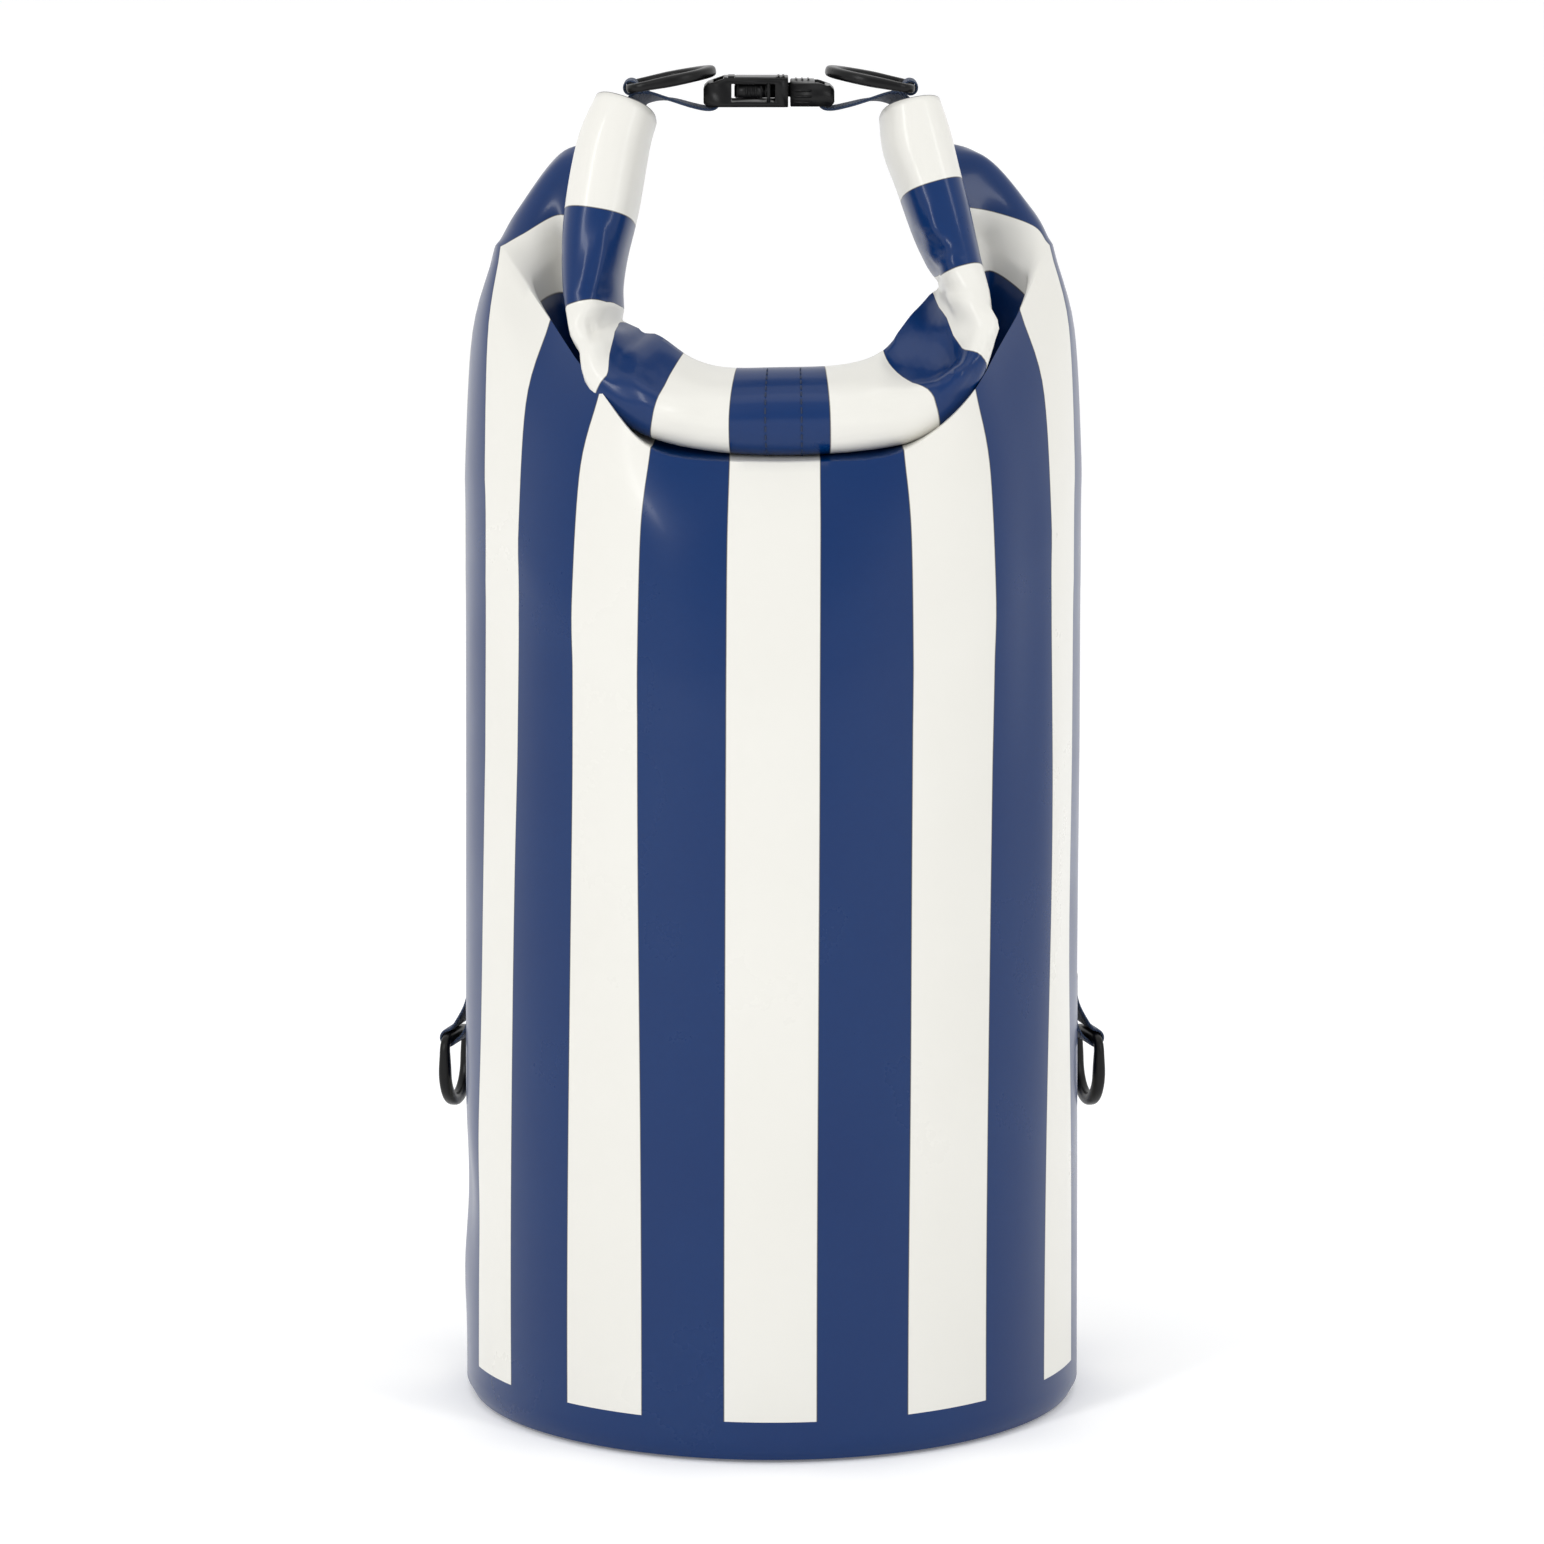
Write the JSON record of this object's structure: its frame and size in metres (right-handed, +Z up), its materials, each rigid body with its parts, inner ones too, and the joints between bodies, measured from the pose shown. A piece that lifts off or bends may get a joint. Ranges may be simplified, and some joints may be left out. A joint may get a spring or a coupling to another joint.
{
  "type": "roll-top carry sack",
  "caption": "Striped roll-top tarpaulin sack: round welded base, mouth rolled down and buckled into a carry loop, D rings at the roll ends and low on the sides.",
  "frame": {"origin": "centre of the round base, on its underside", "axes": "+Z up the sack's height, -Y towards the front where the roll lies, +X towards the plug half of the buckle"},
  "size_m": [0.2652, 0.2439, 0.5222],
  "materials": {
    "striped_tarpaulin": "smooth PVC coating, satin gloss, vertical navy and cream stripes",
    "navy_tarpaulin": "smooth PVC coating, satin gloss",
    "webbing": "woven polyester",
    "black_plastic": "moulded, fine satin",
    "stiffener_strip": "extruded strip"
  },
  "bodies": {
    "sack": {"bag_body": "striped_tarpaulin", "base_panel": "navy_tarpaulin", "base_band": "navy_tarpaulin", "rolled_collar": "striped_tarpaulin", "mouth_stiffener_front": "stiffener_strip", "mouth_stiffener_rear": "stiffener_strip", "strap_left": "webbing", "strap_right": "webbing", "buckle_socket": "black_plastic", "ring_keeper_left": "webbing", "ring_keeper_right": "webbing", "side_patch_left": "navy_tarpaulin", "side_patch_right": "navy_tarpaulin", "side_loop_left": "webbing", "side_loop_right": "webbing", "back_seam_tape": "navy_tarpaulin"},
    "plug": {"buckle_plug": "black_plastic"},
    "prong_front": {"buckle_prong_front": "black_plastic"},
    "prong_rear": {"buckle_prong_rear": "black_plastic"},
    "top_ring_l": {"top_ring_left": "black_plastic"},
    "top_ring_r": {"top_ring_right": "black_plastic"},
    "side_ring_l": {"side_ring_left": "black_plastic"},
    "side_ring_r": {"side_ring_right": "black_plastic"}
  },
  "joints": [
    {"name": "plug_release", "type": "slide", "parent": "sack", "child": "plug", "axis": [1, 0, 0], "range_m": [0, 0.021], "deforming": ["strap_right"]},
    {"name": "prong_front_squeeze", "type": "hinge", "parent": "plug", "child": "prong_front", "pos_m": [0.0055, -0.0482, 0.5144], "axis": [0, 0, -1], "range_deg": [0, 13]},
    {"name": "prong_rear_squeeze", "type": "hinge", "parent": "plug", "child": "prong_rear", "pos_m": [0.0055, -0.0278, 0.5144], "axis": [0, 0, 1], "range_deg": [0, 13]},
    {"name": "top_ring_left_swing", "type": "hinge", "parent": "sack", "child": "top_ring_l", "pos_m": [-0.0533, -0.038, 0.5155], "axis": [0, -1, 0], "range_deg": [0, 160]},
    {"name": "top_ring_right_swing", "type": "hinge", "parent": "sack", "child": "top_ring_r", "pos_m": [0.0522, -0.038, 0.5155], "axis": [0, 1, 0], "range_deg": [0, 160]},
    {"name": "side_ring_left_swing", "type": "hinge", "parent": "sack", "child": "side_ring_l", "pos_m": [-0.12654, 0.0339, 0.1345], "axis": [0.2588, 0.9659, 0], "range_deg": [-10, 150]},
    {"name": "side_ring_right_swing", "type": "hinge", "parent": "sack", "child": "side_ring_r", "pos_m": [0.12654, 0.0339, 0.1345], "axis": [0.2588, -0.9659, 0], "range_deg": [-10, 150]}
  ],
  "couplings": [
    {"joint": "prong_front_squeeze", "follows": "plug_release", "rad_per_m": 10.26},
    {"joint": "prong_rear_squeeze", "follows": "plug_release", "rad_per_m": 10.26}
  ]
}
